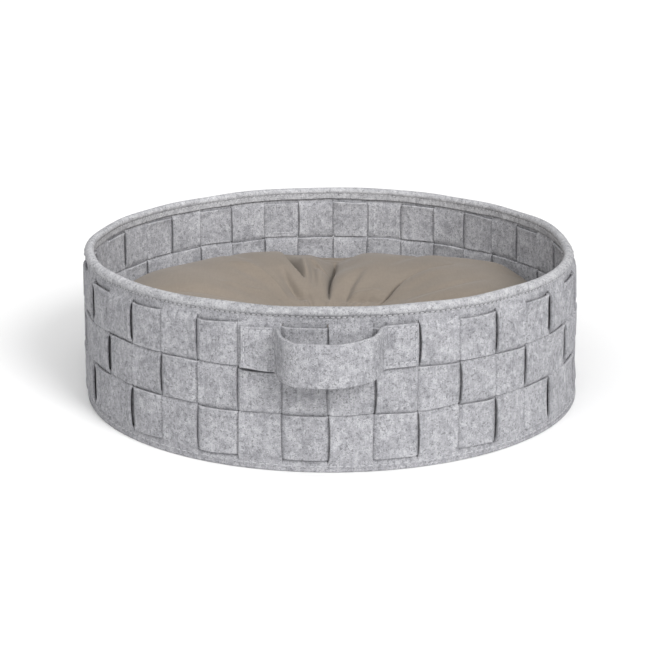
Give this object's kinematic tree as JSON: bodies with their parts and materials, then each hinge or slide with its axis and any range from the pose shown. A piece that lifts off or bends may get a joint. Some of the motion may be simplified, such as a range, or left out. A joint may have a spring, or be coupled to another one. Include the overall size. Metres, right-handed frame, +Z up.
{
  "type": "round pet bed",
  "caption": "Round pet bed: a low basket woven of wide felt strips, with a bound rim and strap handles, and a plump cushion with a pulled-in centre for a pet to lie on.",
  "frame": {"origin": "middle of the underside of the round base, where the bed rests on the floor", "axes": "+Z up; the handles stand out at the front, towards -Y, and at the back, towards +Y"},
  "size_m": [0.5097, 0.5859, 0.155],
  "materials": {
    "wall_felt": "matt mottled grey felt",
    "band_felt": "matt mottled grey felt",
    "binding_felt": "matt mottled pale grey felt",
    "cushion_cloth": "matt fine-woven taupe cloth"
  },
  "bodies": {
    "root": {"base_disc": "wall_felt", "wall_sheet": "wall_felt", "band_bottom": "band_felt", "band_middle": "band_felt", "band_top": "band_felt", "rim_binding": "binding_felt", "handle_front": "band_felt", "handle_back": "band_felt", "cushion": "cushion_cloth"}
  },
  "joints": []
}
